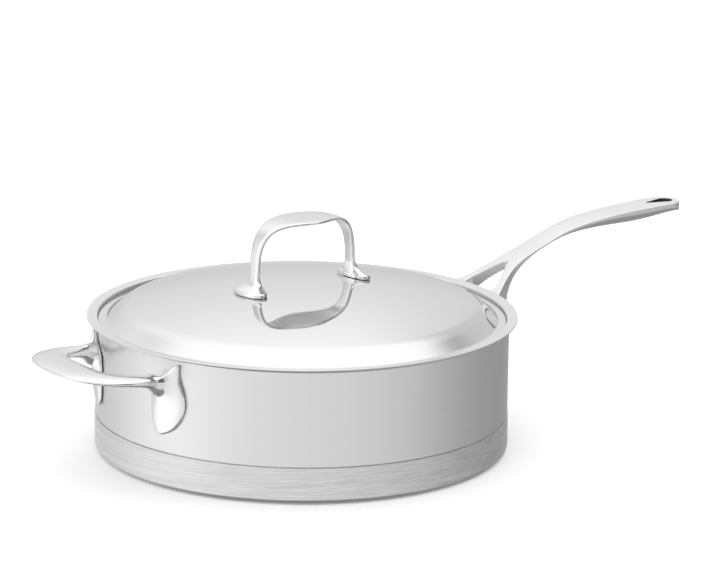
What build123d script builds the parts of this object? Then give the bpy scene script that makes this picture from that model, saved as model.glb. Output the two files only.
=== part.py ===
"""Saute pan with an inset domed lid: a flared steel shell on a capsule base,
a forked long handle, a helper loop opposite it, and a loop handle on the lid.

Millimetres. The origin is the centre of the resting face, +X runs out along
the long handle, -X to the helper handle, and +Z is up.
"""
from build123d import *
import os
from math import asin, atan2, cos, degrees, radians, sin, sqrt, tan

# Cuts and trimming bodies run past the metal by this much
overrun = 20.0

# Pan shell
wall_radius = 140.0
wall_thickness = 2.8
floor_thickness = 2.4
floor_corner_radius = 7.0
rim_flare = 5.6
rim_height = 92.1
lip_thickness = 1.0
lip_fall = 0.6
lip_edge_radius = 0.35
lip_bend_radius = 0.9
lip_under_radius = 3.5
seat_depth = 3.3
seat_step = 1.1

# Capsule base under the shell
base_cap_height = 24.9
base_cap_proud = 0.5
base_cap_wall = 1.0
base_cap_floor = 1.2
base_cap_corner_radius = 5.0
base_cap_edge_radius = 0.3
base_fit_gap = 0.1
core_thickness = 4.6
core_side_gap = 2.0
shell_corner_radius = 8.0
seam_weld_height = 0.6
seam_weld_recess = 0.4

# Lid
lid_thickness = 1.0
lid_side_gap = 0.4
lid_seat_gap = 0.4
lid_edge_radius = 0.3
flange_width = 5.6
flange_bend_radius = 2.0
shoulder_lean = 11.3
shoulder_rise = 9.0
shoulder_radius = 25.0
dome_radius = 488.0

# Welds under each handle foot or pad
weld_gap = 0.4
weld_radius = 3.5

# Helper handle
helper_pad_offset = 3.3
helper_pad_width = 28.4
helper_pad_height = 50.2
helper_pad_drop = 5.2
helper_pad_thickness = 3.2
helper_pad_rim_thickness = 1.4
helper_half_span = 43.0
helper_reach = 51.5
helper_root_drop = 18.6
helper_grip_rise = 6.2
helper_squareness = 3.2
helper_grip_half_width = 13.6
helper_grip_half_thickness = 2.4
helper_neck_half_width = 4.6
helper_neck_half_thickness = 4.4
helper_root_half_thickness = 10.0
helper_root_power = 8
helper_swell_power = 1.1
helper_weld_spacing = 20.0

# Long handle
handle_length = 179.3
handle_rise = 50.3
handle_root_drop = 8.2
handle_half_width = 12.8
handle_depth = 10.4
handle_tip_radius = 11.5
handle_crown = 0.4
fork_length = 32.0
fork_apex_radius = 2.2
fork_mid_length = 12.0
fork_mid_half_gap = 14.4
fork_root_half_gap = 19.6
hole_length = 22.0
hole_round_radius = 5.2
hole_point_radius = 0.8
hole_end_margin = 4.0
fork_pad_half_span = 22.4
fork_pad_width = 16.0
fork_pad_height = 40.0
fork_pad_drop = 7.2
fork_pad_thickness = 3.2
fork_pad_rim_thickness = 1.4
fork_weld_spacing = 18.0

# The helper pad's outline, as shares of its width and height: x is 0 at its
# inner edge and 1 at its widest, z is 0 at the bottom
helper_pad_inner_shares = [
    (0.84, 1.0),
    (0.62, 1.0),
    (0.5, 0.88),
    (0.2, 0.8),
    (0.0, 0.7),
    (0.0, 0.16),
    (0.16, 0.0),
]
helper_pad_outer_shares = [
    (0.16, 0.0),
    (0.52, 0.05),
    (0.82, 0.2),
    (0.98, 0.4),
    (0.97, 0.58),
    (0.83, 0.76),
    (0.8, 0.9),
    (0.84, 1.0),
]
fork_pad_inner_shares = [(0.62, 0.98), (0.3, 0.98), (0.0, 0.72), (0.0, 0.3), (0.24, 0.04)]
fork_pad_outer_shares = [
    (0.24, 0.04),
    (0.6, 0.02),
    (0.92, 0.2),
    (1.0, 0.5),
    (0.9, 0.82),
    (0.62, 0.98),
]

# The long handle's cross-sections from the wall to the tip. Columns: share of
# the reach beyond the wall, share of the rise, share of the half width, share
# of the depth, and share of that depth which is upright side
handle_section_shares = [
    (-0.03, -0.2, 2.12, 1.2, 0.9),
    (0.061, 0.21, 1.69, 0.8, 0.9),
    (0.14, 0.39, 1.09, 0.56, 0.85),
    (0.223, 0.536, 0.84, 0.44, 0.6),
    (0.314, 0.664, 0.79, 0.4, 0.3),
    (0.425, 0.812, 0.81, 0.54, 0.25),
    (0.537, 0.9, 0.91, 0.72, 0.22),
    (0.663, 0.951, 0.95, 0.9, 0.25),
    (0.79, 0.982, 0.975, 1.0, 0.3),
    (0.9, 0.996, 1.0, 0.88, 0.34),
    (0.966, 0.998, 1.0, 0.77, 0.45),
    (1.02, 0.997, 1.0, 0.75, 0.75),
]

# Lid handle
loop_turn = 4.2
loop_half_span = 40.2
loop_height = 45.0
loop_swell_power = 6.0
loop_squareness = 4.0
loop_grip_half_width = 17.0
loop_grip_half_thickness = 1.5
loop_leg_half_width = 4.5
loop_leg_half_thickness = 1.6
loop_edge_share = 0.85
foot_half_length = 15.4
foot_half_width = 7.8
foot_thickness = 2.0
foot_flare_height = 12.0
foot_offset = 3.6
foot_weld_spacing = 14.0

# Cross-sections of the lid handle's foot from its plate up to the leg. Columns:
# share of the flare's height, then shares of the way from the leg's size to the
# foot's in length and in width, and share of the foot's offset
foot_section_shares = [
    (0.0, 1.0, 1.0, 1.0),
    (0.26, 1.0, 1.0, 1.0),
    (0.35, 0.8, 0.76, 0.9),
    (0.48, 0.42, 0.4, 0.55),
    (0.7, 0.13, 0.12, 0.15),
    (1.0, 0.0, 0.02, 0.0),
]

# A loop handle is lofted through cross-sections this many degrees apart
half_turn = 180
loop_angle_step = 12
loop_angles = range(0, half_turn + loop_angle_step, loop_angle_step)

# Places that follow from the sizes above
rim_radius = wall_radius + rim_flare
inner_radius = wall_radius - wall_thickness
seam_height = base_cap_height + seam_weld_height
cap_radius = wall_radius + base_cap_proud
shell_foot_radius = cap_radius - base_cap_wall - base_fit_gap
shell_bottom = base_cap_floor + core_thickness
lip_top_inside = rim_height - lip_fall
seat_radius = inner_radius + seat_step
seat_top = lip_top_inside - seat_depth
seat_bottom = seat_top - seat_step
lip_underside = rim_height - lip_thickness
pad_back_radius = wall_radius + weld_gap
lid_radius = seat_radius - lid_side_gap
lid_under = seat_top - lid_side_gap + lid_seat_gap
shoulder_foot_radius = lid_radius - flange_width
dome_edge_radius = shoulder_foot_radius - shoulder_lean
dome_edge_height = lid_under + lid_thickness + shoulder_rise
shoulder_slope = atan2(shoulder_rise, shoulder_lean)
dome_edge_slope = asin(dome_edge_radius / dome_radius)
inner_foot_radius = shoulder_foot_radius - lid_thickness * tan(shoulder_slope / 2)
crest_tilt = (shoulder_slope + dome_edge_slope) / 2
crest_turn = shoulder_slope - dome_edge_slope
inner_edge_radius = dome_edge_radius - lid_thickness * sin(crest_tilt) / cos(crest_turn / 2)
dome_fall = dome_radius - sqrt(dome_radius**2 - dome_edge_radius**2)
dome_height = dome_edge_height + dome_fall
dome_centre_height = dome_height - dome_radius
helper_pad_angle = degrees(asin((helper_half_span + helper_pad_offset) / wall_radius))
helper_pad_bottom = rim_height - helper_pad_drop - helper_pad_height
helper_root_height = rim_height - helper_root_drop
helper_loop_root = wall_radius * cos(radians(helper_pad_angle))
fork_pad_angle = degrees(asin(fork_pad_half_span / wall_radius))
fork_pad_bottom = rim_height - fork_pad_drop - fork_pad_height
fork_reach = wall_radius + fork_length
fork_mid_reach = wall_radius + fork_mid_length
handle_root_height = rim_height - handle_root_drop
handle_top_height = handle_root_height + handle_rise
handle_tip_reach = wall_radius + handle_length


def revolved(points, radii):
    """A solid of revolution about Z from a closed outline of (radius, height)."""
    outline = FilletPolyline(*points, radius=radii, close=True)
    return revolve(Plane.XZ * make_face(outline), Axis.Z)


def ring(inner, outer, bottom, top):
    """A plain ring between two radii and two heights."""
    points = [(inner, bottom), (outer, bottom), (outer, top), (inner, top)]
    return revolve(Plane.XZ * make_face(Polyline(*points, close=True)), Axis.Z)


def pan_shell():
    """Wall, floor and flared rim, with the stepped seat that the lid drops on."""
    points = [
        (0, shell_bottom),
        (shell_foot_radius, shell_bottom),
        (shell_foot_radius, seam_height),
        (wall_radius, seam_height),
        (wall_radius, lip_underside),
        (rim_radius, lip_underside),
        (rim_radius, rim_height),
        (seat_radius, lip_top_inside),
        (seat_radius, seat_top),
        (inner_radius, seat_bottom),
        (inner_radius, shell_bottom + floor_thickness),
        (0, shell_bottom + floor_thickness),
    ]
    radii = [
        0,
        shell_corner_radius,
        0,
        0,
        lip_under_radius,
        lip_edge_radius,
        lip_edge_radius,
        lip_bend_radius,
        0,
        0,
        floor_corner_radius,
        0,
    ]
    return revolved(points, radii)


def base_cap():
    """Outer cup of the base: its wall is the brushed band round the foot."""
    inside = cap_radius - base_cap_wall
    points = [
        (0, 0),
        (cap_radius, 0),
        (cap_radius, base_cap_height),
        (inside, base_cap_height),
        (inside, base_cap_floor),
        (0, base_cap_floor),
    ]
    inner_corner = base_cap_corner_radius - base_cap_wall
    radii = [0, base_cap_corner_radius, base_cap_edge_radius, 0, inner_corner, 0]
    return revolved(points, radii)


def core_disc():
    """Heat-spreading disc sealed between the base cap and the shell's floor."""
    radius = cap_radius - base_cap_corner_radius - core_side_gap
    return Pos(0, 0, base_cap_floor) * extrude(Circle(radius), core_thickness)


def seam_weld():
    """Ring of weld metal that closes the cap against the shell, just below flush."""
    outer = wall_radius - seam_weld_recess
    return ring(shell_foot_radius, outer, base_cap_height, seam_height)


def dome_arc(radius, edge_radius):
    """Arc of a dome of this radius, from the axis out to edge_radius."""
    centre = Vector(0, dome_centre_height)
    edge_angle = degrees(asin(edge_radius / radius))
    return CenterArc(centre, radius, 90 - edge_angle, edge_angle)


def rounded(edges, corners):
    """A face from closed edges, with a radius at each of the (point, radius) corners."""
    face = make_face(edges)
    for point, radius in corners:
        corner = face.vertices().sort_by_distance(Vector(*point))[0]
        face = fillet(corner, radius)
    return face


def lid_shell():
    """One pressed sheet: flat flange, steep shoulder and shallow dome."""
    top = lid_under + lid_thickness
    outer_arc = dome_arc(dome_radius, dome_edge_radius)
    inner_arc = dome_arc(dome_radius - lid_thickness, inner_edge_radius)
    outer_crest = outer_arc @ 0
    inner_crest = inner_arc @ 0
    outer_foot = (shoulder_foot_radius, top)
    inner_foot = (inner_foot_radius, lid_under)
    rim_top = (lid_radius, top)
    rim_bottom = (lid_radius, lid_under)
    skirt = Polyline(outer_crest, outer_foot, rim_top, rim_bottom, inner_foot, inner_crest)
    axis_line = Line(inner_arc @ 1, outer_arc @ 1)
    corners = [
        (tuple(outer_crest), shoulder_radius),
        (tuple(inner_crest), shoulder_radius - lid_thickness),
        (outer_foot, flange_bend_radius),
        (inner_foot, flange_bend_radius + lid_thickness),
        (rim_top, lid_edge_radius),
        (rim_bottom, lid_edge_radius),
    ]
    face = rounded([outer_arc, skirt, inner_arc, axis_line], corners)
    return revolve(Plane.XZ * face, Axis.Z)


def loop_station(angle, half_span, reach, squareness):
    """Point and heading on a squarish half loop, for an angle of 0 to 180 degrees.

    The loop starts at +half_span, rises to reach at 90 degrees and ends at
    -half_span. The point and the heading are (across, out) pairs.
    """
    c = cos(radians(angle))
    s = sin(radians(angle))
    size = (abs(c / half_span) ** squareness + abs(s / reach) ** squareness) ** (-1 / squareness)
    across = size * c
    out = size * s
    slope_across = abs(across / half_span) ** (squareness - 1) / half_span
    slope_out = abs(out / reach) ** (squareness - 1) / reach
    sign = 1 if across >= 0 else -1
    return (across, out), (-slope_out, sign * slope_across)


def oval(half_width, half_thickness):
    """Cross-section of the helper's bar, and outline of the lid handle's foot."""
    return Ellipse(half_width, half_thickness)


def band(half_width, half_thickness):
    """Flat cross-section with rounded edges."""
    edge_radius = half_thickness * loop_edge_share
    return RectangleRounded(2 * half_width, 2 * half_thickness, edge_radius)


def lofted(section, stations):
    """A smooth body through (place, sideways, forwards, half width, half thickness) stations."""
    faces = []
    for place, sideways, forwards, half_width, half_thickness in stations:
        plane = Plane(origin=place, x_dir=sideways, z_dir=forwards)
        faces.append(plane * section(half_width, half_thickness))
    return loft(faces)


def swell(angle, power):
    """How far a loop has grown from its ends (0) to its middle (1)."""
    return sin(radians(angle)) ** power


def between(low, high, share):
    """The size that lies this share of the way from low to high."""
    return low + (high - low) * share


def outside_wall(shape):
    """What is left of a casting clear of the shell's wall and of its flared rim."""
    keep_out = [
        (0, -overrun),
        (pad_back_radius, -overrun),
        (pad_back_radius, lip_underside - weld_gap),
        (rim_radius + weld_gap, lip_underside - weld_gap),
        (rim_radius + weld_gap, rim_height + overrun),
        (0, rim_height + overrun),
    ]
    cutter = revolved(keep_out, [0, 0, lip_under_radius, 0, 0, 0])
    return shape - cutter


def helper_loop():
    """The grip bar: wide and thin in the middle, thick and round at its roots."""
    stations = []
    for angle in loop_angles:
        (across, out), (turn_across, turn_out) = loop_station(
            angle, helper_half_span, helper_reach, helper_squareness
        )
        share = out / helper_reach
        root_share = (1 - share) ** helper_root_power
        swell_share = swell(angle, helper_swell_power)
        height = between(helper_root_height, helper_root_height + helper_grip_rise, share)
        half_width = between(helper_neck_half_width, helper_grip_half_width, swell_share)
        half_thickness = between(helper_neck_half_thickness, helper_grip_half_thickness, share)
        half_thickness = between(half_thickness, helper_root_half_thickness, root_share)
        place = Vector(-helper_loop_root - out, across, height)
        forwards = Vector(-turn_out, turn_across, 0)
        sideways = Vector(turn_across, turn_out, 0)
        stations.append((place, sideways, forwards, half_width, half_thickness))
    return lofted(oval, stations)


def leaf(width, height, inner_shares, outer_shares):
    """Closed leaf outline: points are shares of the width and of the height."""
    inner = [Vector(width * x, height * z) for x, z in inner_shares]
    outer = [Vector(width * x, height * z) for x, z in outer_shares]
    return make_face([Polyline(*inner), Spline(*outer)])


def wall_pad(outline, thickness, rim_thickness, bottom, height, angle, side):
    """A pillowed plate of this outline laid on the wall, angle degrees to one side of -X.

    It is thickness proud at half its height and rim_thickness at its two ends.
    """
    flat = Plane(origin=(0, 0, bottom), x_dir=(0, side, 0), z_dir=(side, 0, 0))
    plate = extrude(flat * outline, -side * (wall_radius + overrun))
    top = bottom + height
    back_low = (pad_back_radius, bottom)
    back_high = (pad_back_radius, top)
    front_low = (pad_back_radius + rim_thickness, bottom)
    front_mid = (pad_back_radius + thickness, bottom + height / 2)
    front_high = (pad_back_radius + rim_thickness, top)
    edges = [
        Line(back_low, front_low),
        ThreePointArc(front_low, front_mid, front_high),
        Line(front_high, back_high),
        Line(back_high, back_low),
    ]
    pillow = revolve(Plane.XZ * make_face(edges), Axis.Z)
    return Rot(0, 0, -side * angle) * (plate & pillow)


def helper_handle():
    """Bright cast grip whose two ends spread into leaf pads on the wall."""
    leaf_face = leaf(
        helper_pad_width, helper_pad_height, helper_pad_inner_shares, helper_pad_outer_shares
    )
    outline = Pos(-helper_pad_width / 2, 0) * leaf_face
    casting = helper_loop()
    for side in (1, -1):
        casting += wall_pad(
            outline,
            helper_pad_thickness,
            helper_pad_rim_thickness,
            helper_pad_bottom,
            helper_pad_height,
            helper_pad_angle,
            side,
        )
    return outside_wall(casting)


def handle_section(place, tangent, half_width, depth, side_height):
    """Crowned top, two upright sides and a bellied underside, square to the tangent."""
    plane = Plane(origin=place, x_dir=(0, 1, 0), z_dir=tangent)
    top_left = (-half_width, 0)
    top_right = (half_width, 0)
    low_left = (-half_width, -side_height)
    low_right = (half_width, -side_height)
    edges = [
        ThreePointArc(top_left, (0, handle_crown), top_right),
        Line(top_right, low_right),
        ThreePointArc(low_right, (0, -depth), low_left),
        Line(low_left, top_left),
    ]
    return plane * make_face(edges)


def handle_bar():
    """The whole casting as one solid bar, before the fork is cut."""
    places = [
        Vector(wall_radius + handle_length * row[0], 0, handle_root_height + handle_rise * row[1])
        for row in handle_section_shares
    ]
    sections = []
    last = len(places) - 1
    for index, row in enumerate(handle_section_shares):
        tangent = places[min(index + 1, last)] - places[max(index - 1, 0)]
        depth = handle_depth * row[3]
        sections.append(
            handle_section(places[index], tangent, handle_half_width * row[2], depth, depth * row[4])
        )
    return loft(sections)


def fork_gap():
    """The open wedge between the two arms, seen from above."""
    points = [
        (fork_reach, 0),
        (fork_mid_reach, fork_mid_half_gap),
        (wall_radius - overrun, fork_root_half_gap),
        (wall_radius - overrun, -fork_root_half_gap),
        (fork_mid_reach, -fork_mid_half_gap),
    ]
    outline = FilletPolyline(*points, radius=[fork_apex_radius, 0, 0, 0, 0], close=True)
    return extrude(make_face(outline), handle_top_height + overrun)


def hanging_hole():
    """Teardrop hole near the tip, its point towards the pan."""
    round_centre = handle_tip_reach - hole_end_margin - hole_round_radius
    point_centre = round_centre - hole_length + hole_round_radius + hole_point_radius
    round_end = Pos(round_centre, 0) * Circle(hole_round_radius)
    point_end = Pos(point_centre, 0) * Circle(hole_point_radius)
    return extrude(make_hull((round_end + point_end).edges()), handle_top_height + overrun)


def long_handle():
    """Matt cast handle: two arms rise from the wall, join and sweep out to the tip."""
    width = 2 * handle_half_width
    tip_middle = handle_tip_reach - width / 2
    tip = Pos(tip_middle, 0) * Rectangle(width, width)
    tip = fillet(tip.vertices().group_by(Axis.X)[-1], handle_tip_radius)
    inboard = Pos(tip_middle / 2, 0) * Rectangle(tip_middle, 2 * wall_radius)
    casting = handle_bar() & extrude(tip + inboard, handle_top_height + overrun)
    casting -= fork_gap()
    casting -= hanging_hole()
    leaf_face = leaf(fork_pad_width, fork_pad_height, fork_pad_inner_shares, fork_pad_outer_shares)
    outline = Pos(-fork_pad_width / 2, 0) * leaf_face
    for side in (1, -1):
        casting += Rot(0, 0, half_turn) * wall_pad(
            outline,
            fork_pad_thickness,
            fork_pad_rim_thickness,
            fork_pad_bottom,
            fork_pad_height,
            fork_pad_angle,
            side,
        )
    return outside_wall(casting)


def on_dome(radius, gap):
    """Height of the dome's outside at this radius, raised square to it by gap."""
    return dome_centre_height + sqrt((dome_radius + gap) ** 2 - radius**2)


def lid_loop():
    """The grip band: wide and flat on top, slim in the legs."""
    foot_height = on_dome(loop_half_span, weld_gap)
    stations = []
    for angle in loop_angles:
        (across, out), (turn_across, turn_out) = loop_station(
            angle, loop_half_span, loop_height, loop_squareness
        )
        share = swell(angle, loop_swell_power)
        half_width = between(loop_leg_half_width, loop_grip_half_width, share)
        half_thickness = between(loop_leg_half_thickness, loop_grip_half_thickness, share)
        place = Vector(across, 0, foot_height + out)
        forwards = Vector(turn_across, 0, turn_out)
        stations.append((place, Vector(0, 1, 0), forwards, half_width, half_thickness))
    return lofted(band, stations)


def lid_foot(side):
    """Flared foot of one leg: from the slim leg out to a thin oval plate on the dome."""
    foot_height = on_dome(loop_half_span, weld_gap)
    stations = []
    for row in foot_section_shares:
        height_share, length_share, width_share, offset_share = row
        height = foot_height - foot_thickness + (foot_flare_height + foot_thickness) * height_share
        place = Vector(side * (loop_half_span + foot_offset * offset_share), 0, height)
        half_length = between(loop_leg_half_width, foot_half_length, length_share)
        half_width = between(loop_leg_half_thickness, foot_half_width, width_share)
        stations.append((place, Vector(0, 1, 0), Vector(0, 0, 1), half_length, half_width))
    return lofted(oval, stations)


def lid_handle():
    """Bright cast loop whose two feet are cut to sit on the dome."""
    casting = lid_loop()
    for side in (1, -1):
        casting += lid_foot(side)
    under_feet = Pos(0, 0, dome_centre_height) * Sphere(dome_radius + weld_gap)
    return Rot(0, 0, loop_turn) * (casting - under_feet)


def wall_welds(angle, bottom, height, spacing, turn):
    """Round welds between the wall and the backs of a handle's two pads."""
    behind_pads = ring(wall_radius, pad_back_radius, 0, rim_height)
    nuggets = []
    for side in (1, -1):
        for step in (-spacing / 2, spacing / 2):
            middle = Plane(origin=(0, 0, bottom + height / 2 + step), z_dir=(-1, 0, 0))
            bar = middle * extrude(Circle(weld_radius), wall_radius + overrun)
            nugget = Rot(0, 0, turn - side * angle) * (bar & behind_pads)
            nuggets += nugget.solids()
    return Compound(nuggets)


def helper_handle_welds():
    """The four welds that hold the helper handle to the wall."""
    return wall_welds(
        helper_pad_angle, helper_pad_bottom, helper_pad_height, helper_weld_spacing, 0
    )


def long_handle_welds():
    """The four welds that hold the long handle, on the far side from the helper."""
    return wall_welds(
        fork_pad_angle, fork_pad_bottom, fork_pad_height, fork_weld_spacing, half_turn
    )


def lid_handle_welds():
    """Round welds between the dome and the undersides of the lid handle's feet."""
    dome = Pos(0, 0, dome_centre_height) * Sphere(dome_radius)
    under_feet = Pos(0, 0, dome_centre_height) * Sphere(dome_radius + weld_gap)
    foot_middle = loop_half_span + foot_offset
    nuggets = []
    for side in (1, -1):
        for step in (-foot_weld_spacing / 2, foot_weld_spacing / 2):
            base = Pos(side * foot_middle, step, dome_edge_height)
            bar = base * extrude(Circle(weld_radius), dome_height - dome_edge_height)
            nugget = Rot(0, 0, loop_turn) * ((bar & under_feet) - dome)
            nuggets += nugget.solids()
    return Compound(nuggets)


parts = {
    "pan_shell": pan_shell,
    "base_cap": base_cap,
    "core_disc": core_disc,
    "seam_weld": seam_weld,
    "helper_handle": helper_handle,
    "helper_handle_welds": helper_handle_welds,
    "long_handle": long_handle,
    "long_handle_welds": long_handle_welds,
    "lid_shell": lid_shell,
    "lid_handle": lid_handle,
    "lid_handle_welds": lid_handle_welds,
}

os.makedirs("parts", exist_ok=True)
for name, make in parts.items():
    export_step(make(), "parts/" + name + ".step")
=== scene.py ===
# %% [markdown]
# # A saute pan with an inset lid
#
# This lesson dresses a steel saute pan: a flared body on a capsule base, a domed
# lid that drops into a seat inside the rim, a loop on the lid, a short helper
# loop on one side and a forked long handle on the other. The solids of the
# engineering model come in as a fixed frame. Each cell below either turns,
# lofts or finishes one real piece of the pan, in metres, in that same frame.

# %% Load the engineering frame
from math import asin, atan2, cos, degrees, pi, radians, sin, sqrt, tan

import bmesh
import bpy
from mathutils import Matrix, Vector


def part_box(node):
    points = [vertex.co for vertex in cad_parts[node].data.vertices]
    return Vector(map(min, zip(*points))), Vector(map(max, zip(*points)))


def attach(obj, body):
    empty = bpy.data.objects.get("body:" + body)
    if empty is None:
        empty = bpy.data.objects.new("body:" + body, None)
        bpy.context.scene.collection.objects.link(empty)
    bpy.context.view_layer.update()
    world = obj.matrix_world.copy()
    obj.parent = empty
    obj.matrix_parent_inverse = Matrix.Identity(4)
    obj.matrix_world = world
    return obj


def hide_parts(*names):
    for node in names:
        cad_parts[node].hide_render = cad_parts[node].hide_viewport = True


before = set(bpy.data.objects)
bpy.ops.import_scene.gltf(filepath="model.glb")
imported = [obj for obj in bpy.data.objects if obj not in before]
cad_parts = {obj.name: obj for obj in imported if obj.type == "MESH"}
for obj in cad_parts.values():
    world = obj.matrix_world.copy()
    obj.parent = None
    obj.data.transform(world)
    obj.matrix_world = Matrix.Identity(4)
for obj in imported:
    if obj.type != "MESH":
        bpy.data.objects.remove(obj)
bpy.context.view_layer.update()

mm = 0.001
print("pieces in the frame:", sorted(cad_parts))
for node in sorted(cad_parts):
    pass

# %% [markdown]
# ## Camera
#
# The pan was pictured from a little above, with a long lens, so its ellipses are
# nearly the same width front and back. The camera is placed by its turn round
# the pan, its tilt and its distance, and the object itself is never moved.

# %% Place the camera
view_turn = radians(33)
view_yaw = radians(0.8589)
view_tilt = radians(14.2494)
view_roll = radians(0.7755)
camera_back = 2.35522
camera_height = 0.71044

ahead = Vector((sin(view_yaw) * cos(view_tilt), cos(view_yaw) * cos(view_tilt), -sin(view_tilt)))
across = Vector((cos(view_yaw), -sin(view_yaw), 0))
upright = across.cross(ahead)
right = across * cos(view_roll) + upright * sin(view_roll)
up = upright * cos(view_roll) - across * sin(view_roll)
aim = Matrix((right, up, -ahead)).transposed().to_4x4()

lens = bpy.data.cameras.new("camera")
lens.sensor_width = 36
lens.lens = 3600 / 710 * 36
lens.clip_start = 0.05
lens.clip_end = 60
camera = bpy.data.objects.new("camera", lens)
bpy.context.collection.objects.link(camera)
stand = Matrix.Translation((0, -camera_back, camera_height))
camera.matrix_world = Matrix.Rotation(-view_turn, 4, "Z") @ stand @ aim
bpy.context.scene.camera = camera
print("camera at", [round(v, 3) for v in camera.matrix_world.translation])

# %% [markdown]
# ## Two ways to make a piece
#
# Most of a pan is turned: its profile is drawn once and spun about the upright
# axis. The cast handles are lofted: one ring of points is extruded along a path
# and each new ring is pulled into place. Both helpers below work in edit mode
# on a circle primitive, because its points already make one closed loop.

# %% A helper that starts every piece from a ring of points
def ring_of_points(name, points):
    """A new mesh object whose one closed loop runs through these points."""
    bpy.ops.object.select_all(action="DESELECT")
    bpy.ops.mesh.primitive_circle_add(vertices=len(points), fill_type="NOTHING")
    piece = bpy.context.object
    piece.name = name
    piece.data.name = name
    bpy.ops.object.mode_set(mode="EDIT")
    mesh = bmesh.from_edit_mesh(piece.data)
    place = mesh.verts.layers.int.new("place")
    for index, vertex in enumerate(mesh.verts):
        vertex[place] = index
        vertex.co = points[index]
    bmesh.update_edit_mesh(piece.data)
    return piece


def finish_piece(piece, body, smooth_angle):
    """Close the mesh's normals, shade it, name what it rides on and leave edit mode."""
    bpy.ops.mesh.select_all(action="SELECT")
    bpy.ops.mesh.remove_doubles(threshold=1e-7)
    bpy.ops.mesh.normals_make_consistent(inside=False)
    bpy.ops.object.mode_set(mode="OBJECT")
    marks = piece.data.attributes.get("place")
    if marks:
        piece.data.attributes.remove(marks)
    bpy.ops.object.shade_smooth_by_angle(angle=radians(smooth_angle))
    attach(piece, body)
    print(piece.name, "has", len(piece.data.polygons), "faces")


# %% A helper that rounds the corners of a drawn profile
def softened(points, radii, turn_step=7):
    """The profile (radius, height) in mm with an arc in place of each sharp corner."""
    outline = []
    count = len(points)
    for index, (point, radius) in enumerate(zip(points, radii)):
        here = Vector(point)
        before = Vector(points[index - 1]) - here
        after = Vector(points[(index + 1) % count]) - here
        if radius == 0:
            outline.append(here)
            continue
        opening = before.angle(after)
        reach = radius / tan(opening / 2)
        middle = (before.normalized() + after.normalized()).normalized()
        centre = here + middle * (radius / sin(opening / 2))
        start = here + before.normalized() * reach - centre
        end = here + after.normalized() * reach - centre
        turn = start.angle_signed(end)
        steps = max(2, int(degrees(abs(turn)) / turn_step) + 1)
        guard = min(0.25 * radius, 0.4)
        outline.append(here + before.normalized() * (reach + guard))
        for step in range(steps + 1):
            angle = -turn * step / steps
            spoke = Vector((
                start.x * cos(angle) - start.y * sin(angle),
                start.x * sin(angle) + start.y * cos(angle),
            ))
            outline.append(centre + spoke)
        outline.append(here + after.normalized() * (reach + guard))
    return outline


# %% A helper that turns a profile about the upright axis
def turned(name, outline, body, steps=288, smooth_angle=35):
    """A piece spun from a closed profile of (radius, height) points in mm."""
    points = [Vector((p[0] * mm, 0, p[1] * mm)) for p in outline]
    piece = ring_of_points(name, points)
    mesh = bmesh.from_edit_mesh(piece.data)
    bpy.ops.mesh.select_all(action="DESELECT")
    bpy.ops.mesh.select_mode(type="EDGE")
    for edge in mesh.edges:
        edge.select_set(all(v.co.x < 1e-7 for v in edge.verts))
    bmesh.update_edit_mesh(piece.data)
    bpy.ops.mesh.delete(type="EDGE_FACE")
    bpy.ops.mesh.select_mode(type="VERT")
    bpy.ops.mesh.select_all(action="SELECT")
    bpy.ops.mesh.spin(steps=steps, angle=2 * pi, center=(0, 0, 0), axis=(0, 0, 1))
    finish_piece(piece, body, smooth_angle)
    return piece


# %% A helper that extrudes a ring from place to place
def lofted(name, rings):
    """A skin through rings of points, each given in metres; left open and in edit mode."""
    piece = ring_of_points(name, rings[0])
    bpy.ops.mesh.select_all(action="SELECT")
    for ring in rings[1:]:
        bpy.ops.mesh.extrude_region_move()
        mesh = bmesh.from_edit_mesh(piece.data)
        place = mesh.verts.layers.int["place"]
        for vertex in mesh.verts:
            if vertex.select:
                vertex.co = ring[vertex[place]]
        bmesh.update_edit_mesh(piece.data)
    return piece


# %% A helper that rounds a casting's edges and corners
def tumbled(piece, square, rounds):
    """Rebuild the active piece as an even skin of small squares, then relax it."""
    skin = piece.modifiers.new("even skin", "REMESH")
    skin.mode = "VOXEL"
    skin.voxel_size = square
    bpy.ops.object.modifier_apply(modifier=skin.name)
    relax = piece.modifiers.new("tumbled edges", "SMOOTH")
    relax.factor = 0.5
    relax.iterations = rounds
    bpy.ops.object.modifier_apply(modifier=relax.name)


# %% [markdown]
# ## The sizes shared by the turned pieces
#
# They are the real sizes of the pan in millimetres: a 280 mm wall with a lip
# that flares 5.6 mm past it, a 25 mm capsule base, and a 1 mm lid pressed into
# a shallow dome with a steeper shoulder and a flat flange.

# %% Sizes of the body, the base and the lid
wall_radius = 140.0
wall_thickness = 2.8
inner_radius = wall_radius - wall_thickness
rim_radius = 145.6
rim_height = 92.1
lip_fall = 0.6
seat_radius = inner_radius + 1.1
seat_top = rim_height - lip_fall - 3.3
cap_radius = 140.5
cap_height = 24.9
shell_bottom = 5.8
shell_foot_radius = 139.4
lid_radius = 137.9
lid_thickness = 1.0
flange_height = seat_top + lid_thickness
shoulder_foot_radius = 132.3
shoulder_lean = 11.3
shoulder_rise = 9.0
crest_radius = 25.0
dome_radius = 488.0
print("seat at", round(seat_top, 1), "mm, lid flange at", round(flange_height, 1), "mm")

# %% [markdown]
# ## Pan body
#
# The body is one thick sheet spun into a straight wall with a small floor
# radius. Its lip turns out and is ground to a soft edge, and a step inside the
# lip carries the lid. It could be a cylinder with a solid wall, but a drawn
# profile keeps the lip, the step and the floor in one true section.

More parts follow.
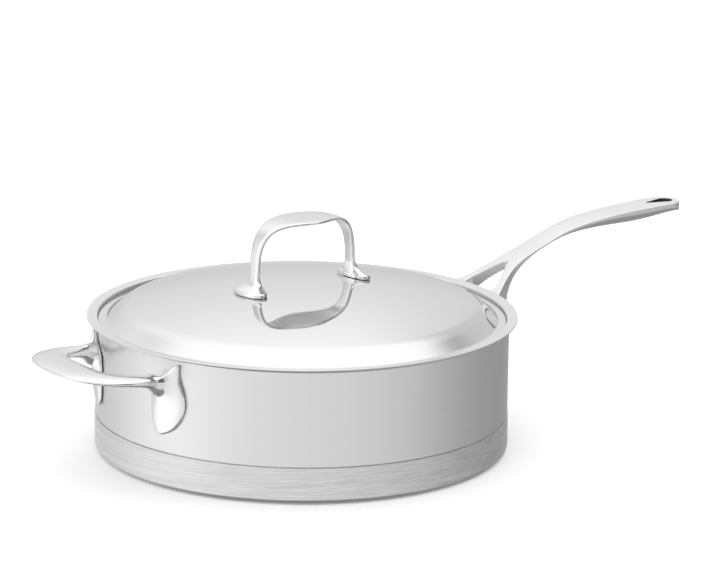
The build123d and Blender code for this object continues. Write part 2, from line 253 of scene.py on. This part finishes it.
# %% Turn the pan body
body_points = [
    (0, shell_bottom),
    (shell_foot_radius, shell_bottom),
    (shell_foot_radius, cap_height + 0.6),
    (wall_radius, cap_height + 0.6),
    (wall_radius, rim_height - 1.0),
    (rim_radius, rim_height - 1.0),
    (rim_radius, rim_height),
    (seat_radius, rim_height - lip_fall),
    (seat_radius, seat_top),
    (inner_radius, seat_top - 1.1),
    (inner_radius, shell_bottom + 2.4),
    (0, shell_bottom + 2.4),
]
body_radii = [0, 8.0, 0, 0.3, 3.5, 0.35, 0.35, 0.9, 0.2, 0.2, 7.0, 0]
pan_body = turned("pan_body", softened(body_points, body_radii), "pan", steps=320)
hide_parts("pan_shell")

# %% [markdown]
# ## Base band
#
# The thick base is capped by a shallow cup whose wall shows as a coarser band
# round the foot of the pan, half a millimetre proud of the wall, so a fine
# line of shade runs round the joint.

# %% Turn the base cup
cup_points = [
    (0, 0),
    (cap_radius, 0),
    (cap_radius, cap_height),
    (cap_radius - 1.0, cap_height),
    (cap_radius - 1.0, 1.2),
    (0, 1.2),
]
cup_radii = [0, 5.0, 0.3, 0, 4.0, 0]
base_band = turned("base_band", softened(cup_points, cup_radii), "pan", steps=320)
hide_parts("base_cap")

# %% [markdown]
# ## Lid
#
# A mirror shows every bend in its surface, so the lid's profile is drawn from
# true arcs: a wide dome, a crest that is tangent to it, a straight shoulder and
# a small bend into the flat flange. The underside is the same profile moved
# one sheet thickness along its own normals, so the wall is even everywhere.

# %% Work out the lid's profile
shoulder_slope = atan2(shoulder_rise, shoulder_lean)
dome_edge_radius = shoulder_foot_radius - shoulder_lean
dome_edge_fall = dome_radius - sqrt(dome_radius**2 - dome_edge_radius**2)
dome_top = flange_height + shoulder_rise + dome_edge_fall
dome_centre = dome_top - dome_radius

line_normal = Vector((sin(shoulder_slope), cos(shoulder_slope)))
line_heading = Vector((-cos(shoulder_slope), sin(shoulder_slope)))
line_foot = Vector((shoulder_foot_radius, flange_height))
start = line_foot - line_normal * crest_radius - Vector((0, dome_centre))
half = start.dot(line_heading)
way = -half + sqrt(half**2 - start.length_squared + (dome_radius - crest_radius) ** 2)
crest_centre = start + line_heading * way + Vector((0, dome_centre))
crest_slope = atan2(crest_centre.x, crest_centre.y - dome_centre)
bend = 2.0
bend_reach = bend * tan(shoulder_slope / 2)
bend_centre = Vector((shoulder_foot_radius + bend_reach, flange_height + bend))

lid_profile = []
for step in range(65):
    slope = crest_slope * (step / 64)
    lid_profile.append((dome_radius * sin(slope), dome_centre + dome_radius * cos(slope), slope))
for step in range(1, 17):
    slope = crest_slope + (shoulder_slope - crest_slope) * step / 16
    spot = crest_centre + Vector((sin(slope), cos(slope))) * crest_radius
    lid_profile.append((spot.x, spot.y, slope))
for step in range(9):
    slope = shoulder_slope * (1 - step / 8)
    spot = bend_centre - Vector((sin(slope), cos(slope))) * bend
    lid_profile.append((spot.x, spot.y, slope))
lid_profile.append((lid_radius - 0.6, flange_height, 0))
print("the dome's top is at", round(dome_top, 2), "mm")

# %% Turn the lid
lid_edge = [
    (lid_radius - 0.25, flange_height - 0.03),
    (lid_radius - 0.06, flange_height - 0.16),
    (lid_radius, flange_height - 0.4),
    (lid_radius, flange_height - 0.6),
    (lid_radius - 0.06, flange_height - 0.84),
    (lid_radius - 0.25, flange_height - 0.97),
]
lid_top_side = [(r, z) for r, z, slope in lid_profile]
lid_under_side = [
    (max(0, r - lid_thickness * sin(slope)), z - lid_thickness * cos(slope))
    for r, z, slope in reversed(lid_profile)
]
lid_dome = turned("lid_dome", lid_top_side + lid_edge + lid_under_side, "lid", steps=360)
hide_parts("lid_shell")

# %% [markdown]
# ## Lid handle
#
# The lid's loop is one casting: a wide thin band on top that narrows into two
# slim legs, and each leg spreads into an oval foot. It is lofted in one go,
# foot to foot, so the polish runs without a seam. Each ring is a rounded
# rectangle that softens into an oval at the feet.

# %% Sizes and path of the lid handle
loop_turn = radians(4.2)
loop_half_span = 40.2
loop_height = 45.0
loop_squareness = 4.0
band_half_width = 17.0
band_half_thickness = 1.5
leg_half_width = 4.5
leg_half_thickness = 1.6
foot_half_length = 15.4
foot_half_width = 7.8
foot_offset = 3.6
flare_height = 12.0
weld_gap = 0.4


def on_dome(radius, gap=0.0):
    """Height of the dome's outside at this radius, raised square to it by gap."""
    return dome_centre + sqrt((dome_radius + gap) ** 2 - radius**2)


def squarish(angle, half_span, reach, squareness):
    """A point (across, out) of a squarish half loop at this polar angle."""
    c, s = cos(angle), sin(angle)
    size = (abs(c / half_span) ** squareness + abs(s / reach) ** squareness) ** (-1 / squareness)
    return Vector((size * c, size * s))


def even_steps(points, count):
    """Points spaced evenly along the run of these points."""
    runs = [0.0]
    for before, after in zip(points, points[1:]):
        runs.append(runs[-1] + (after - before).length)
    spaced = []
    piece = 0
    for step in range(count + 1):
        run = runs[-1] * step / count
        while piece < len(points) - 2 and runs[piece + 1] < run:
            piece += 1
        share = (run - runs[piece]) / (runs[piece + 1] - runs[piece])
        spaced.append(points[piece].lerp(points[piece + 1], min(1.0, share)))
    return spaced


foot_height = on_dome(loop_half_span, weld_gap)
fine = [squarish(pi * step / 2000, loop_half_span, loop_height, loop_squareness) for step in range(2001)]
loop_path = even_steps(fine, 150)
print("lid handle's feet stand at", round(foot_height, 2), "mm")

# %% Shape the rings of the lid handle
ring_count = 48


def oval_ring(squareness):
    """Unit ring: round at 2, and nearer a rounded rectangle as squareness grows."""
    spots = []
    for step in range(ring_count):
        angle = 2 * pi * step / ring_count
        c, s = cos(angle), sin(angle)
        spots.append(Vector((
            abs(c) ** (2 / squareness) * (1 if c >= 0 else -1),
            abs(s) ** (2 / squareness) * (1 if s >= 0 else -1),
        )))
    return spots


def flare_share(height):
    """How far a foot has spread at this height above the dome: 0 in the leg, 1 at the rim."""
    knots = [(0.0, 0.97), (0.5, 1.0), (1.5, 1.0), (2.2, 0.965), (2.6, 0.9), (3.0, 0.8), (3.6, 0.65),
             (4.4, 0.48), (5.4, 0.32), (6.6, 0.2), (8.0, 0.11), (10.0, 0.035), (12.0, 0.0), (99.0, 0.0)]
    for (low, low_share), (high, high_share) in zip(knots, knots[1:]):
        if height <= high:
            return low_share + (high_share - low_share) * (height - low) / (high - low)
    return 0.0


def lid_handle_ring(spot, heading):
    """The ring of points round one place (across, out) on the loop's path."""
    swell = max(0.0, sin(atan2(spot.y, spot.x))) ** 6.0
    half_width = leg_half_width + (band_half_width - leg_half_width) * swell
    half_thickness = leg_half_thickness + (band_half_thickness - leg_half_thickness) * swell
    share = flare_share(spot.y)
    half_width += (foot_half_length - half_width) * share
    half_thickness += (foot_half_width - half_thickness) * share
    side = 1 if spot.x > 0 else -1
    shift = side * foot_offset * share
    square = 3.6 - 1.4 * min(1.0, 2 * share)
    ring = []
    for unit in oval_ring(square):
        out = Vector((-heading.y, heading.x)) * unit.y * half_thickness
        x = spot.x + out.x + shift
        y = unit.x * half_width
        z = foot_height + spot.y + out.y
        if spot.y < flare_height:
            z += (on_dome(sqrt(x * x + y * y), weld_gap) - foot_height) * share
        ring.append(Vector((x * mm, y * mm, z * mm)))
    return ring


# %% Loft the lid handle
flare_steps = [0.0, 0.15, 0.5, 1.0, 1.5, 1.9, 2.2, 2.4, 2.6, 2.8, 3.0, 3.3, 3.6, 4.0, 4.4,
               4.9, 5.4, 6.0, 6.6, 7.3, 8.0, 9.0, 10.0, 11.0]
right_leg = [Vector((loop_half_span, step)) for step in flare_steps]
left_leg = [Vector((-loop_half_span, step)) for step in reversed(flare_steps)]
spots = right_leg + [p for p in loop_path if p.y > flare_height] + left_leg
rings = []
for index, spot in enumerate(spots):
    before = spots[max(index - 1, 0)]
    after = spots[min(index + 1, len(spots) - 1)]
    rings.append(lid_handle_ring(spot, (after - before).normalized()))
lid_loop = lofted("lid_loop", rings)
bpy.ops.mesh.edge_face_add()
mesh = bmesh.from_edit_mesh(lid_loop.data)
place = mesh.verts.layers.int["place"]
bpy.ops.mesh.select_all(action="DESELECT")
for vertex in mesh.verts:
    vertex.select_set((vertex.co - rings[0][vertex[place]]).length < 1e-9)
mesh.select_flush(True)
bmesh.update_edit_mesh(lid_loop.data)
bpy.ops.mesh.edge_face_add()
finish_piece(lid_loop, "lid", 60)
lid_loop.data.transform(Matrix.Rotation(loop_turn, 4, "Z"))
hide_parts("lid_handle")

# %% [markdown]
# ## Helper handle
#
# The helper is a broad, lens-shaped grip whose two arms stand up on edge as
# they near the wall and spread into leaf pads. Only one half is lofted, from
# the middle of the grip to the pad, and a mirror makes the other, so the two
# arms are twins. The pad's outline takes over from the arm's oval ring by ring,
# and the whole skin is then rebuilt and relaxed, which gives the smooth web that
# a polished casting has in such a corner.

# %% Sizes of the helper handle
helper_half_span = 43.0
helper_reach = 51.5
helper_squareness = 3.2
helper_root_height = rim_height - 18.6
helper_grip_rise = 6.2
grip_half_width = 13.6
grip_half_thickness = 2.4
neck_half_width = 4.6
neck_half_thickness = 4.4
root_half_width = 6.0
root_rise = 4.4
root_drop = 5.6
pad_offset = 3.3
pad_width = 28.4
pad_height = 50.2
pad_bottom = rim_height - 5.2 - pad_height
pad_angle = asin((helper_half_span + pad_offset) / wall_radius)
loop_root = wall_radius * cos(pad_angle)
leaf_shares = [
    (0.84, 1.0), (0.73, 1.0), (0.64, 0.97), (0.57, 0.92), (0.46, 0.865), (0.32, 0.82), (0.16, 0.77),
    (0.04, 0.69), (0.0, 0.58), (0.0, 0.42), (0.01, 0.28), (0.04, 0.14), (0.1, 0.05), (0.2, 0.0),
    (0.34, 0.01), (0.52, 0.05), (0.68, 0.11), (0.82, 0.2), (0.92, 0.3), (0.98, 0.4), (0.99, 0.5),
    (0.96, 0.6), (0.9, 0.69), (0.85, 0.76), (0.82, 0.84), (0.81, 0.92),
]
leaf = [Vector(((x - 0.5) * pad_width, pad_bottom + pad_height * z)) for x, z in leaf_shares]
print("pads from", round(pad_bottom, 1), "to", round(pad_bottom + pad_height, 1), "mm")

# %% Match the leaf's outline to the arm's ring
arm_across = asin(helper_half_span / wall_radius) - pad_angle
hub = Vector((arm_across * wall_radius, helper_root_height + 1.2))


def leaf_reach(angle):
    """Distance from the arm's middle to the leaf's outline in this direction."""
    ray = Vector((cos(angle), sin(angle)))
    best = 0.0
    for first, second in zip(leaf, leaf[1:] + leaf[:1]):
        a, b = first - hub, second - hub
        edge = b - a
        cross = ray.x * edge.y - ray.y * edge.x
        if abs(cross) < 1e-9:
            continue
        share = (a.x * ray.y - a.y * ray.x) / cross
        reach = (a.x * edge.y - a.y * edge.x) / cross
        if -1e-9 <= share <= 1 + 1e-9 and reach > best:
            best = reach
    return best


many = 1440
fine_outline = []
for step in range(many + 1):
    angle = 2 * pi * step / many
    fine_outline.append(Vector((cos(angle), sin(angle))) * leaf_reach(angle))
helper_count = 72
even_outline = even_steps(fine_outline, helper_count)[:-1]
pad_angles = []
for step, spot in enumerate(even_outline):
    plain = 2 * pi * step / helper_count
    turned_angle = atan2(spot.y, spot.x) % (2 * pi)
    if step > helper_count / 2 and turned_angle < pi / 2:
        turned_angle += 2 * pi
    pad_angles.append(plain * 0.35 + turned_angle * 0.65)
print("leaf sampled at", len(pad_angles), "angles")

# %% Shape the rings of the helper's arm and pad


def arm_ring(place, sideways, half_width, rise, drop):
    """An oval ring that stands square to the path, with its own rise and drop."""
    ring = []
    for angle in pad_angles:
        spot = place + sideways * (cos(angle) * half_width)
        spot.z += sin(angle) * (rise if sin(angle) > 0 else drop)
        ring.append(spot * mm)
    return ring


def on_wall(across_arc, height, gap):
    """A point on the wall's outside, across_arc round from the pad's middle."""
    turn = pad_angle + across_arc / wall_radius
    radius = wall_radius + gap
    return Vector((-radius * cos(turn), radius * sin(turn), height))


def pad_ring(share, gap):
    """A ring on the pad: share 0 is the arm's root and 1 is the leaf's outline."""
    lean = asin(helper_half_span / (wall_radius + gap)) - asin(helper_half_span / wall_radius)
    middle = hub + Vector((lean * wall_radius * (1 - share), 0))
    ring = []
    for angle in pad_angles:
        ray = Vector((cos(angle), sin(angle)))
        root = Vector((ray.x * root_half_width, ray.y * (root_rise if ray.y > 0 else root_drop)))
        rim = ray * leaf_reach(angle)
        spot = root.lerp(rim, share) + middle
        ring.append(on_wall(spot.x, spot.y, gap) * mm)
    return ring


# %% Loft one half of the helper handle
fine = [
    squarish(pi / 2 * (1 - step / 1000), helper_half_span, helper_reach, helper_squareness)
    for step in range(1001)
]
helper_path = even_steps(fine, 90)
rings = []
for index, spot in enumerate(helper_path):
    if spot.y < 10.5:
        break
    before = helper_path[max(index - 1, 0)]
    after = helper_path[min(index + 1, len(helper_path) - 1)]
    heading = Vector((1, 0)) if index == 0 else (after - before).normalized()
    swell = sin(atan2(spot.y, spot.x)) ** 1.1
    share = spot.y / helper_reach
    half_width = neck_half_width + (grip_half_width - neck_half_width) * swell
    half_thickness = neck_half_thickness + (grip_half_thickness - neck_half_thickness) * share
    off_wall = loop_root + spot.y - sqrt(wall_radius**2 - spot.x**2)
    rise = (half_thickness**3 + (380 / off_wall**2) ** 3) ** (1 / 3)
    drop = (half_thickness**3 + (800 / off_wall**2) ** 3) ** (1 / 3)
    height = helper_root_height + helper_grip_rise * share
    place = Vector((-loop_root - spot.y, spot.x, height))
    sideways = Vector((-heading.x, -heading.y, 0))
    rings.append(arm_ring(place, sideways, half_width, rise, drop))

web_steps = [
    (0.12, 6.6), (0.17, 5.9), (0.23, 5.35), (0.30, 4.9), (0.38, 4.5), (0.46, 4.2), (0.55, 3.95),
    (0.64, 3.7), (0.73, 3.45), (0.81, 3.2), (0.88, 2.9), (0.93, 2.55), (0.965, 2.15), (0.99, 1.7),
    (1.0, 1.3), (1.0, 0.9), (0.99, 0.65), (0.96, 0.47), (0.9, 0.4), (0.5, 0.4), (0.1, 0.4),
]
for share, gap in web_steps:
    rings.append(pad_ring(share, gap))
helper_loop = lofted("helper_loop", rings)
bpy.ops.mesh.edge_face_add()
bpy.ops.object.mode_set(mode="OBJECT")
twin = helper_loop.modifiers.new("twin arm", "MIRROR")
twin.use_axis = (False, True, False)
twin.use_clip = True
twin.merge_threshold = 1e-6
bpy.ops.object.modifier_apply(modifier=twin.name)
bpy.ops.object.mode_set(mode="EDIT")
bpy.ops.mesh.select_all(action="SELECT")
bpy.ops.mesh.remove_doubles(threshold=1e-6)
bpy.ops.mesh.normals_make_consistent(inside=False)
bpy.ops.object.mode_set(mode="OBJECT")
tumbled(helper_loop, 0.5 * mm, 26)
bpy.ops.object.mode_set(mode="EDIT")
finish_piece(helper_loop, "pan", 180)
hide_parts("helper_handle")

# %% [markdown]
# ## Long handle
#
# The long handle is a casting with soft, tumbled edges everywhere. The frame
# already has its true form with sharp edges, so a copy is rebuilt as an even
# skin of small squares and smoothed, which rounds each edge by about a
# millimetre, as blasting and tumbling do. Beveling every edge by hand would
# fight with the many small faces where the arms meet the pads.

# %% Soften a copy of the long handle
bpy.ops.object.select_all(action="DESELECT")
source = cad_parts["long_handle"]
long_handle = source.copy()
long_handle.data = source.data.copy()
long_handle.name = "long_handle_cast"
for key in list(long_handle.keys()):
    if key.startswith("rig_"):
        del long_handle[key]
bpy.context.collection.objects.link(long_handle)
bpy.context.view_layer.objects.active = long_handle
long_handle.select_set(True)
bpy.ops.object.mode_set(mode="EDIT")
bpy.ops.mesh.select_all(action="SELECT")
bpy.ops.mesh.remove_doubles(threshold=1e-6)
bpy.ops.object.mode_set(mode="OBJECT")
tumbled(long_handle, 0.55 * mm, 10)
bpy.ops.object.mode_set(mode="EDIT")
finish_piece(long_handle, "pan", 180)
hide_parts("long_handle")

# %% [markdown]
# ## Steel finishes
#
# Everything here is stainless steel, so the finishes differ only in how they
# are worked. A brushed surface is a fine scratch pattern that runs with the
# tool: round and round on a turned piece. The pattern is built from noise that
# is stretched along the turning direction, and it drives the roughness, a very
# slight tint and a very slight bump. Uniform numbers stay on the shader itself.

# %% A helper that starts a steel finish


def steel(name, tint, roughness, anisotropy=0.0):
    """A metal material with its plain numbers set, its node tree and its shader."""
    finish = bpy.data.materials.new(name)
    finish.use_nodes = True
    nodes = finish.node_tree.nodes
    shader = nodes["Principled BSDF"]
    shader.inputs["Base Color"].default_value = (tint[0], tint[1], tint[2], 1)
    shader.inputs["Metallic"].default_value = 1.0
    shader.inputs["Roughness"].default_value = roughness
    shader.inputs["Anisotropic"].default_value = anisotropy
    return finish, finish.node_tree, shader


def node(tree, kind, values=None, **settings):
    """A new node with some of its settings and input values filled in."""
    made = tree.nodes.new("ShaderNode" + kind)
    for key, value in settings.items():
        setattr(made, key, value)
    for key, value in (values or {}).items():
        made.inputs[key].default_value = value
    return made


def around_axis(tree, fine, coarse):
    """Coordinates whose noise is drawn out round the upright axis: fine across, coarse along."""
    place = node(tree, "TexCoord").outputs["Object"]
    parts = node(tree, "SeparateXYZ")
    tree.links.new(place, parts.inputs[0])
    flat = node(tree, "CombineXYZ")
    tree.links.new(parts.outputs["X"], flat.inputs["X"])
    tree.links.new(parts.outputs["Y"], flat.inputs["Y"])
    radius = node(tree, "VectorMath", operation="LENGTH")
    tree.links.new(flat.outputs[0], radius.inputs[0])
    across = node(tree, "CombineXYZ")
    tree.links.new(radius.outputs["Value"], across.inputs["X"])
    tree.links.new(parts.outputs["Z"], across.inputs["Y"])
    stretched = node(tree, "VectorMath", operation="SCALE")
    stretched.inputs["Scale"].default_value = fine
    tree.links.new(across.outputs[0], stretched.inputs[0])
    along = node(tree, "VectorMath", operation="SCALE")
    along.inputs["Scale"].default_value = coarse
    tree.links.new(place, along.inputs[0])
    both = node(tree, "VectorMath", operation="ADD")
    tree.links.new(stretched.outputs[0], both.inputs[0])
    tree.links.new(along.outputs[0], both.inputs[1])
    return both.outputs[0]


def spread(tree, source, low, high):
    """A noise value of about 0.3 to 0.7 turned into low to high."""
    step = node(tree, "MapRange", {"From Min": 0.3, "From Max": 0.7, "To Min": low, "To Max": high})
    tree.links.new(source, step.inputs["Value"])
    return step.outputs[0]


def tinted(tree, source, shader, dark, light):
    """Let a noise value slide the base colour between two close greys."""
    ramp = node(tree, "Mix", data_type="RGBA")
    ramp.inputs["A"].default_value = (*dark, 1)
    ramp.inputs["B"].default_value = (*light, 1)
    tree.links.new(spread(tree, source, 0.0, 1.0), ramp.inputs["Factor"])
    tree.links.new(ramp.outputs["Result"], shader.inputs["Base Color"])


def bumped(tree, source, shader, depth, strength):
    """Let a value press the surface by a small depth in metres."""
    bump = node(tree, "Bump", {"Strength": strength, "Distance": depth})
    tree.links.new(source, bump.inputs["Height"])
    tree.links.new(bump.outputs["Normal"], shader.inputs["Normal"])


def turned_steel(name, dark, light, smooth, rough, anisotropy, lines, breaks, depth, strength):
    """Steel brushed round and round: streaks in tint, roughness and bump."""
    finish, tree, shader = steel(name, light, rough, anisotropy)
    coordinates = around_axis(tree, lines, breaks)
    grain = node(tree, "TexNoise", {"Scale": 1.0, "Detail": 4.0, "Roughness": 0.65})
    tree.links.new(coordinates, grain.inputs["Vector"])
    tinted(tree, grain.outputs["Fac"], shader, dark, light)
    tree.links.new(spread(tree, grain.outputs["Fac"], smooth, rough), shader.inputs["Roughness"])
    bumped(tree, grain.outputs["Fac"], shader, depth, strength)
    if anisotropy:
        lay = node(tree, "Tangent", direction_type="RADIAL", axis="Z")
        tree.links.new(lay.outputs[0], shader.inputs["Tangent"])
    print(name, "brushed at", lines, "lines a metre")
    return finish


# %% Brushed finishes of the turned pieces
# dark and light tint, least and most roughness, anisotropy, lines, breaks, depth, strength
satin_body = turned_steel(
    "satin_body", (0.71,) * 3, (0.73,) * 3, 0.27, 0.31, 0.85, 1500, 9, 0.000004, 0.05)
brushed_base = turned_steel(
    "brushed_base", (0.56,) * 3, (0.80,) * 3, 0.28, 0.40, 0.85, 1100, 45, 0.00001, 0.2)
polished_lid = turned_steel(
    "polished_lid", (0.718,) * 3, (0.722,) * 3, 0.045, 0.055, 0.0, 1500, 9, 0.000001, 0.01)

# %% [markdown]
# ## Cast finishes
#
# The loops are castings polished to a soft mirror, so they get a faint, slow
# variation and almost no bump. The long handle is blasted after casting: its
# steel scatters light widely, and a fine, even grain covers it.

# %% Finishes of the castings, the welds, the sealed core and the painted hole shade


def cast_steel(name, dark, light, smooth, rough, size, depth, strength):
    """Cast steel with an even grain in every direction."""
    finish, tree, shader = steel(name, light, rough)
    place = node(tree, "TexCoord").outputs["Object"]
    grain = node(tree, "TexNoise", {"Scale": 1 / size, "Detail": 3.0, "Roughness": 0.6})
    tree.links.new(place, grain.inputs["Vector"])
    slow = node(tree, "TexNoise", {"Scale": 40.0, "Detail": 2.0})
    tree.links.new(place, slow.inputs["Vector"])
    tinted(tree, slow.outputs["Fac"], shader, dark, light)
    tree.links.new(spread(tree, slow.outputs["Fac"], smooth, rough), shader.inputs["Roughness"])
    bumped(tree, grain.outputs["Fac"], shader, depth, strength)
    print(name, "grain of", round(size / mm, 2), "mm")
    return finish


polished_casting = cast_steel("polished_casting", (0.76,) * 3, (0.78,) * 3, 0.04, 0.06, 0.004, 0.000004, 0.02)
matt_casting = cast_steel("matt_casting", (0.71,) * 3, (0.74,) * 3, 0.4, 0.46, 0.0006, 0.00003, 0.15)
weld_metal = cast_steel("weld_metal", (0.42,) * 3, (0.55,) * 3, 0.4, 0.6, 0.0009, 0.00012, 0.5)
# A near-black steel that is painted shade for the hanging hole's walls.
painted_hole_shade = cast_steel("painted_hole_shade", (0.05,) * 3, (0.10,) * 3, 0.5, 0.65, 0.0006, 0.00003, 0.2)
heat_core = cast_steel("heat_core", (0.7,) * 3, (0.78,) * 3, 0.4, 0.5, 0.001, 0.00004, 0.3)


def dress(piece, finish):
    """Put one finish on the whole piece."""
    piece.data.materials.clear()
    piece.data.materials.append(finish)


for piece, finish in (
    (pan_body, satin_body), (base_band, brushed_base), (lid_dome, polished_lid),
    (lid_loop, polished_casting), (helper_loop, polished_casting), (long_handle, matt_casting),
):
    dress(piece, finish)
carried = {
    "core_disc": heat_core, "seam_weld": weld_metal, "helper_handle_welds": weld_metal,
    "long_handle_welds": weld_metal, "lid_handle_welds": weld_metal,
}
for name, finish in carried.items():
    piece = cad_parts[name]
    for slot in piece.material_slots:
        slot.material = finish
    if not piece.material_slots:
        piece.data.materials.append(finish)
print("finishes on", 6 + len(carried), "pieces")

# %% [markdown]
# ## Hanging hole
#
# The hole near the handle's tip looks nearly black from the shade inside it,
# and that shade is painted here as a near-black finish. Shade may be the whole
# cause, or a skin that blasting left inside, and the dark finish here stands for
# either. Its walls are found by their place and by facing sideways, and take the
# long handle's second material, the painted shade. A separate dark piece would be
# simpler, but the real handle is one casting.

# %% Paint shade on the walls of the hanging hole
hole_margin = 3.6 * mm
hole_length = 22.8 * mm
hole_half_width = 6.0 * mm
steepest_wall = 0.75
# The second material paints shade on the hole's walls.
long_handle.data.materials.append(painted_hole_shade)
hole_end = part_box("long_handle")[1][0] - hole_margin
walls = 0
for face in long_handle.data.polygons:
    along_hole = hole_end - hole_length < face.center.x < hole_end
    across_hole = abs(face.center.y) < hole_half_width
    if along_hole and across_hole and abs(face.normal.z) < steepest_wall:
        face.material_index = 1
        walls += 1
print("faces in the hanging hole:", walls)

# %% [markdown]
# ## Studio
#
# Steel has no colour of its own: it shows the room. The room here is a pale
# tent with a broad light to the left and a grey flat to the right, painted on
# the world by direction, with a few rounded tones for the walls, the table and
# the far side. The backdrop and floor are white to the camera, and the floor
# keeps the soft shade that the pan casts on it.

# %% Paint the room by direction
# A ramp holds tones up to 1, so the room is painted this many times too dark and lit again
brightest = 1.7
view_white = 1.0
floor_light = 1.47


def ramp_of(tree, stops):
    """A colour ramp whose stops are (place from 0 to 1, grey) pairs."""
    ramp = node(tree, "ValToRGB")
    bar = ramp.color_ramp
    bar.interpolation = "B_SPLINE"
    for extra in range(len(stops) - 2):
        bar.elements.new(0.5)
    for element, (place, grey) in zip(bar.elements, stops):
        element.position = place
        element.color = (grey / brightest, grey / brightest, grey / brightest, 1)
    return ramp


def bearing(turn):
    """A bearing from the camera's direction, in degrees to the right, as 0 to 1."""
    return turn / 360 + 0.5


world = bpy.data.worlds.new("studio")
bpy.context.scene.world = world
world.use_nodes = True
room = world.node_tree
room.nodes.clear()
direction = node(room, "TexCoord").outputs["Generated"]
facing = node(room, "VectorRotate", {"Angle": view_turn}, rotation_type="Z_AXIS")
room.links.new(direction, facing.inputs["Vector"])
facing_parts = node(room, "SeparateXYZ")
room.links.new(facing.outputs[0], facing_parts.inputs[0])
towards = node(room, "Math", {1: -1.0}, operation="MULTIPLY")
room.links.new(facing_parts.outputs["Y"], towards.inputs[0])
turn = node(room, "Math", operation="ARCTAN2")
room.links.new(facing_parts.outputs["X"], turn.inputs[0])
room.links.new(towards.outputs[0], turn.inputs[1])
share_round = node(room, "Math", {1: 1 / (2 * pi), 2: 0.5}, operation="MULTIPLY_ADD")
room.links.new(turn.outputs[0], share_round.inputs[0])

above_room = ramp_of(room, [
    (bearing(-180), 0.4), (bearing(-115), 0.8), (bearing(-90), 1.3), (bearing(-65), 1.6),
    (bearing(-42), 0.9), (bearing(20), 0.8), (bearing(40), 0.1), (bearing(52), 0.1),
    (bearing(62), 0.9), (bearing(74), 0.8), (bearing(84), 0.2), (bearing(120), 0.05),
    (bearing(152), 0.05), (bearing(163), 1.1), (bearing(180), 0.3),
])
below_room = ramp_of(room, [
    (bearing(-180), 0.7), (bearing(-120), 0.8), (bearing(-85), 1.4), (bearing(-60), 1.3),
    (bearing(-40), 1.0), (bearing(0), 1.0), (bearing(60), 0.8), (bearing(90), 0.5),
    (bearing(150), 0.3), (bearing(180), 0.8),
])
far_room = ramp_of(room, [
    (0.0, 0.7), (0.5, 0.7), (0.6, 0.85), (0.75, 1.05), (0.9, 1.4), (1.0, 1.4),
])
high_share = node(room, "Math", {1: 0.5, 2: 0.5}, operation="MULTIPLY_ADD")
room.links.new(facing_parts.outputs["Z"], high_share.inputs[0])
for ramp, place in ((above_room, share_round), (below_room, share_round), (far_room, high_share)):
    room.links.new(place.outputs[0], ramp.inputs["Fac"])


def blended(first, second, share):
    """The first colour where the share is 0 and the second where it is 1."""
    mix = node(room, "Mix", data_type="RGBA")
    room.links.new(share, mix.inputs["Factor"])
    for name, colour in (("A", first), ("B", second)):
        if isinstance(colour, float):
            mix.inputs[name].default_value = (colour, colour, colour, 1)
        else:
            room.links.new(colour, mix.inputs[name])
    return mix.outputs["Result"]


def climb(source, low, high):
    """A smooth step from 0 to 1 as the source goes from low to high."""
    step = node(room, "MapRange", {"From Min": low, "From Max": high})
    step.interpolation_type = "SMOOTHSTEP"
    room.links.new(source, step.inputs["Value"])
    return step.outputs[0]


table = blended(0.32 / brightest, below_room.outputs["Color"],
                climb(facing_parts.outputs["Z"], -0.85, -0.7))
above_table = climb(facing_parts.outputs["Z"], -0.05, 0.05)
round_the_pan = blended(table, above_room.outputs["Color"], above_table)
far_side = blended(far_room.outputs["Color"], 0.75 / brightest,
                   climb(facing_parts.outputs["X"], 0.06, 0.32))
behind = climb(facing_parts.outputs["Y"], 0.25, 0.75)
near_walls = blended(round_the_pan, blended(table, far_side, above_table), behind)
overhead = climb(facing_parts.outputs["Z"], 0.55, 0.8)
whole_room = blended(near_walls, far_room.outputs["Color"], overhead)
lit_room = node(room, "VectorMath", operation="SCALE")
lit_room.inputs["Scale"].default_value = brightest
room.links.new(whole_room, lit_room.inputs[0])
print("the room has", len(above_room.color_ramp.elements), "tones round it")

# %% Show the room to the steel and white to the camera
rays = node(room, "LightPath")
for_all = blended(floor_light, view_white, rays.outputs["Is Camera Ray"])
for_steel = blended(for_all, lit_room.outputs[0], rays.outputs["Is Glossy Ray"])
backdrop = node(room, "Background", {"Strength": 1.0})
room.links.new(for_steel, backdrop.inputs["Color"])
sky = node(room, "OutputWorld")
room.links.new(backdrop.outputs[0], sky.inputs["Surface"])
print("backdrop at strength", backdrop.inputs["Strength"].default_value)

# %% Lay the floor
bpy.ops.object.select_all(action="DESELECT")
bpy.ops.mesh.primitive_plane_add(size=16, location=(0, 0, 0))
floor = bpy.context.object
floor.name = "floor"
paper = bpy.data.materials.new("white_floor")
paper.use_nodes = True
sheet = paper.node_tree
sheet.nodes.clear()
matt = node(sheet, "BsdfDiffuse")
matt.inputs["Color"].default_value = (0.9, 0.9, 0.9, 1)
clear = node(sheet, "BsdfTransparent")
path = node(sheet, "LightPath")
choice = node(sheet, "MixShader")
final = node(sheet, "OutputMaterial")
sheet.links.new(path.outputs["Is Glossy Ray"], choice.inputs["Fac"])
sheet.links.new(matt.outputs[0], choice.inputs[1])
sheet.links.new(clear.outputs[0], choice.inputs[2])
sheet.links.new(choice.outputs[0], final.inputs["Surface"])
floor.data.materials.append(paper)
print("floor is", floor.dimensions[0], "m wide")

# %% Show colours as they are written
bpy.context.scene.view_settings.view_transform = "Standard"
